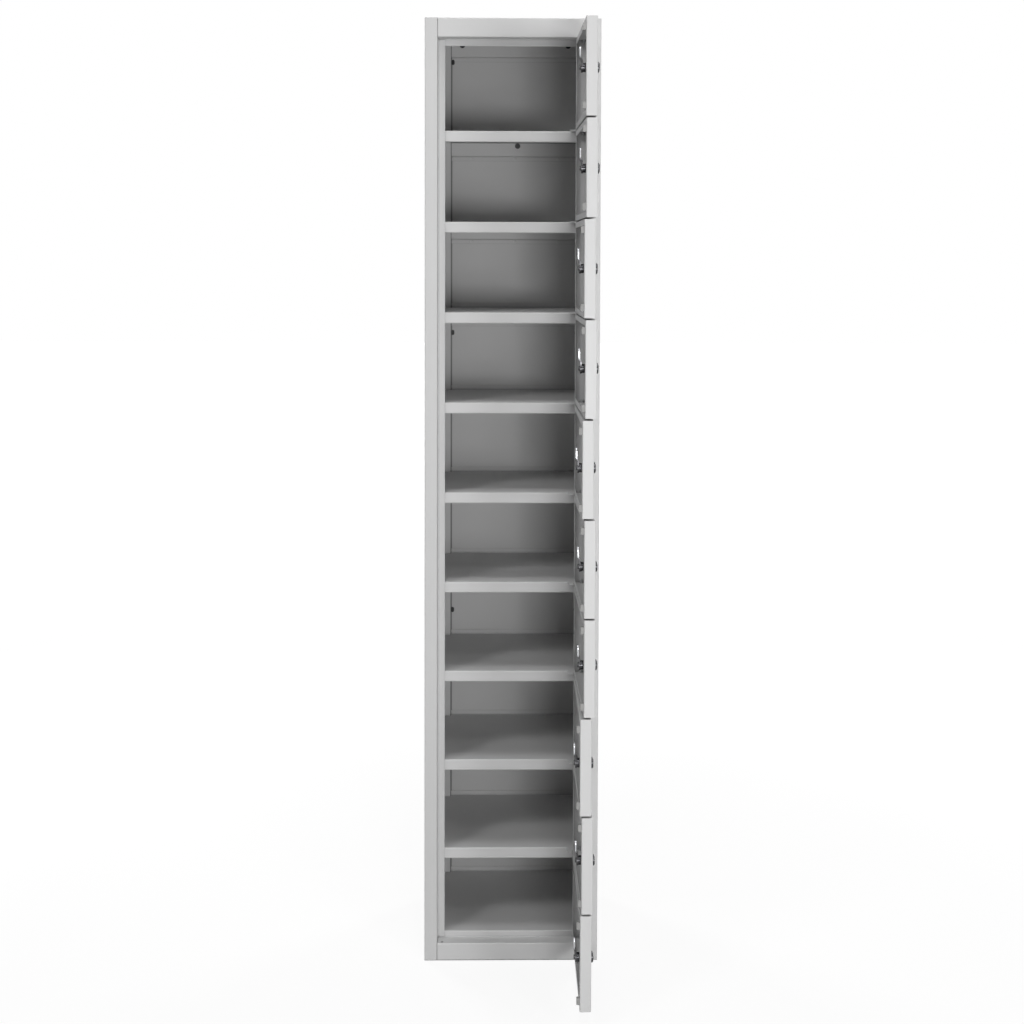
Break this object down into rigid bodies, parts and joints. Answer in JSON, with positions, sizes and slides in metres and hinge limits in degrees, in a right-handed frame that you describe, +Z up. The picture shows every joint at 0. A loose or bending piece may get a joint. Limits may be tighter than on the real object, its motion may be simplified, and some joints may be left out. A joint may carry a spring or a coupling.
{
  "type": "compartment locker",
  "caption": "Tall folded-steel locker with one column of small compartments; each has a pin-hinged door with a cam lock, all standing open.",
  "frame": {"origin": "middle of the four floor bolt holes, which is the middle of the case's footprint, at floor level", "axes": "+X to the right as seen from the doors' side, +Y to the back, +Z up"},
  "size_m": [0.332, 0.5707, 1.8],
  "materials": {
    "case_paint": "light grey powder coat, satin",
    "door_paint": "light grey powder coat, satin",
    "zinc": "zinc plated",
    "plug_plastic": "black moulded plastic",
    "buffer_rubber": "pale grey rubber",
    "lock_nickel": "dark nickel plate",
    "cam_steel": "bright plated steel"
  },
  "bodies": {
    "case": {"side_panel_left": "case_paint", "side_panel_right": "case_paint", "top_panel": "case_paint", "base_panel": "case_paint", "back_panel": "case_paint", "floor_angles": "case_paint", "shelf_01": "case_paint", "shelf_02": "case_paint", "shelf_03": "case_paint", "shelf_04": "case_paint", "shelf_05": "case_paint", "shelf_06": "case_paint", "shelf_07": "case_paint", "shelf_08": "case_paint", "shelf_09": "case_paint", "shelf_rails": "case_paint", "hinge_brackets": "case_paint", "pivot_pins": "zinc", "wall_plugs": "plug_plastic"},
    "door_01": {"door_01": "door_paint", "door_buffers_01": "buffer_rubber", "lock_barrel_01": "lock_nickel"},
    "door_02": {"door_02": "door_paint", "door_buffers_02": "buffer_rubber", "lock_barrel_02": "lock_nickel"},
    "door_03": {"door_03": "door_paint", "door_buffers_03": "buffer_rubber", "lock_barrel_03": "lock_nickel"},
    "door_04": {"door_04": "door_paint", "door_buffers_04": "buffer_rubber", "lock_barrel_04": "lock_nickel"},
    "door_05": {"door_05": "door_paint", "door_buffers_05": "buffer_rubber", "lock_barrel_05": "lock_nickel"},
    "door_06": {"door_06": "door_paint", "door_buffers_06": "buffer_rubber", "lock_barrel_06": "lock_nickel"},
    "door_07": {"door_07": "door_paint", "door_buffers_07": "buffer_rubber", "lock_barrel_07": "lock_nickel"},
    "door_08": {"door_08": "door_paint", "door_buffers_08": "buffer_rubber", "lock_barrel_08": "lock_nickel"},
    "door_09": {"door_09": "door_paint", "door_buffers_09": "buffer_rubber", "lock_barrel_09": "lock_nickel"},
    "door_10": {"door_10": "door_paint", "door_buffers_10": "buffer_rubber", "lock_barrel_10": "lock_nickel"},
    "lock_01": {"lock_cam_01": "cam_steel"},
    "lock_02": {"lock_cam_02": "cam_steel"},
    "lock_03": {"lock_cam_03": "cam_steel"},
    "lock_04": {"lock_cam_04": "cam_steel"},
    "lock_05": {"lock_cam_05": "cam_steel"},
    "lock_06": {"lock_cam_06": "cam_steel"},
    "lock_07": {"lock_cam_07": "cam_steel"},
    "lock_08": {"lock_cam_08": "cam_steel"},
    "lock_09": {"lock_cam_09": "cam_steel"},
    "lock_10": {"lock_cam_10": "cam_steel"}
  },
  "joints": [
    {"name": "door_01_hinge", "type": "hinge", "parent": "case", "child": "door_01", "pos_m": [0.1325, -0.146, 1.67732], "axis": [0, 0, 1], "range_deg": [-92, 16]},
    {"name": "door_02_hinge", "type": "hinge", "parent": "case", "child": "door_02", "pos_m": [0.1325, -0.146, 1.50457], "axis": [0, 0, 1], "range_deg": [-92.2, 15.8]},
    {"name": "door_03_hinge", "type": "hinge", "parent": "case", "child": "door_03", "pos_m": [0.1325, -0.146, 1.33183], "axis": [0, 0, 1], "range_deg": [-91.6, 16.4]},
    {"name": "door_04_hinge", "type": "hinge", "parent": "case", "child": "door_04", "pos_m": [0.1325, -0.146, 1.15908], "axis": [0, 0, 1], "range_deg": [-92.1, 15.9]},
    {"name": "door_05_hinge", "type": "hinge", "parent": "case", "child": "door_05", "pos_m": [0.1325, -0.146, 0.98633], "axis": [0, 0, 1], "range_deg": [-91.2, 16.8]},
    {"name": "door_06_hinge", "type": "hinge", "parent": "case", "child": "door_06", "pos_m": [0.1325, -0.146, 0.81358], "axis": [0, 0, 1], "range_deg": [-92, 16]},
    {"name": "door_07_hinge", "type": "hinge", "parent": "case", "child": "door_07", "pos_m": [0.1325, -0.146, 0.64082], "axis": [0, 0, 1], "range_deg": [-92.1, 15.9]},
    {"name": "door_08_hinge", "type": "hinge", "parent": "case", "child": "door_08", "pos_m": [0.1325, -0.146, 0.46808], "axis": [0, 0, 1], "range_deg": [-90.8, 17.2]},
    {"name": "door_09_hinge", "type": "hinge", "parent": "case", "child": "door_09", "pos_m": [0.1325, -0.146, 0.29533], "axis": [0, 0, 1], "range_deg": [-91.5, 16.5]},
    {"name": "door_10_hinge", "type": "hinge", "parent": "case", "child": "door_10", "pos_m": [0.1325, -0.146, 0.12258], "axis": [0, 0, 1], "range_deg": [-91.1, 16.9]},
    {"name": "lock_01_turn", "type": "hinge", "parent": "door_01", "child": "lock_01", "pos_m": [0.14751, -0.38962, 1.67732], "axis": [0.9994, 0.0349, 0], "range_deg": [0, 90]},
    {"name": "lock_02_turn", "type": "hinge", "parent": "door_02", "child": "lock_02", "pos_m": [0.14836, -0.38957, 1.50457], "axis": [0.9993, 0.0384, 0], "range_deg": [0, 90]},
    {"name": "lock_03_turn", "type": "hinge", "parent": "door_03", "child": "lock_03", "pos_m": [0.14581, -0.38972, 1.33183], "axis": [0.9996, 0.0279, 0], "range_deg": [0, 90]},
    {"name": "lock_04_turn", "type": "hinge", "parent": "door_04", "child": "lock_04", "pos_m": [0.14794, -0.3896, 1.15908], "axis": [0.9993, 0.0366, 0], "range_deg": [0, 90]},
    {"name": "lock_05_turn", "type": "hinge", "parent": "door_05", "child": "lock_05", "pos_m": [0.14411, -0.38981, 0.98633], "axis": [0.9998, 0.0209, 0], "range_deg": [0, 90]},
    {"name": "lock_06_turn", "type": "hinge", "parent": "door_06", "child": "lock_06", "pos_m": [0.14751, -0.38962, 0.81358], "axis": [0.9994, 0.0349, 0], "range_deg": [0, 90]},
    {"name": "lock_07_turn", "type": "hinge", "parent": "door_07", "child": "lock_07", "pos_m": [0.14794, -0.3896, 0.64082], "axis": [0.9993, 0.0366, 0], "range_deg": [0, 90]},
    {"name": "lock_08_turn", "type": "hinge", "parent": "door_08", "child": "lock_08", "pos_m": [0.14241, -0.38988, 0.46808], "axis": [0.9999, 0.014, 0], "range_deg": [0, 90]},
    {"name": "lock_09_turn", "type": "hinge", "parent": "door_09", "child": "lock_09", "pos_m": [0.14538, -0.38975, 0.29533], "axis": [0.9997, 0.0262, 0], "range_deg": [0, 90]},
    {"name": "lock_10_turn", "type": "hinge", "parent": "door_10", "child": "lock_10", "pos_m": [0.14368, -0.38983, 0.12258], "axis": [0.9998, 0.0192, 0], "range_deg": [0, 90]}
  ]
}
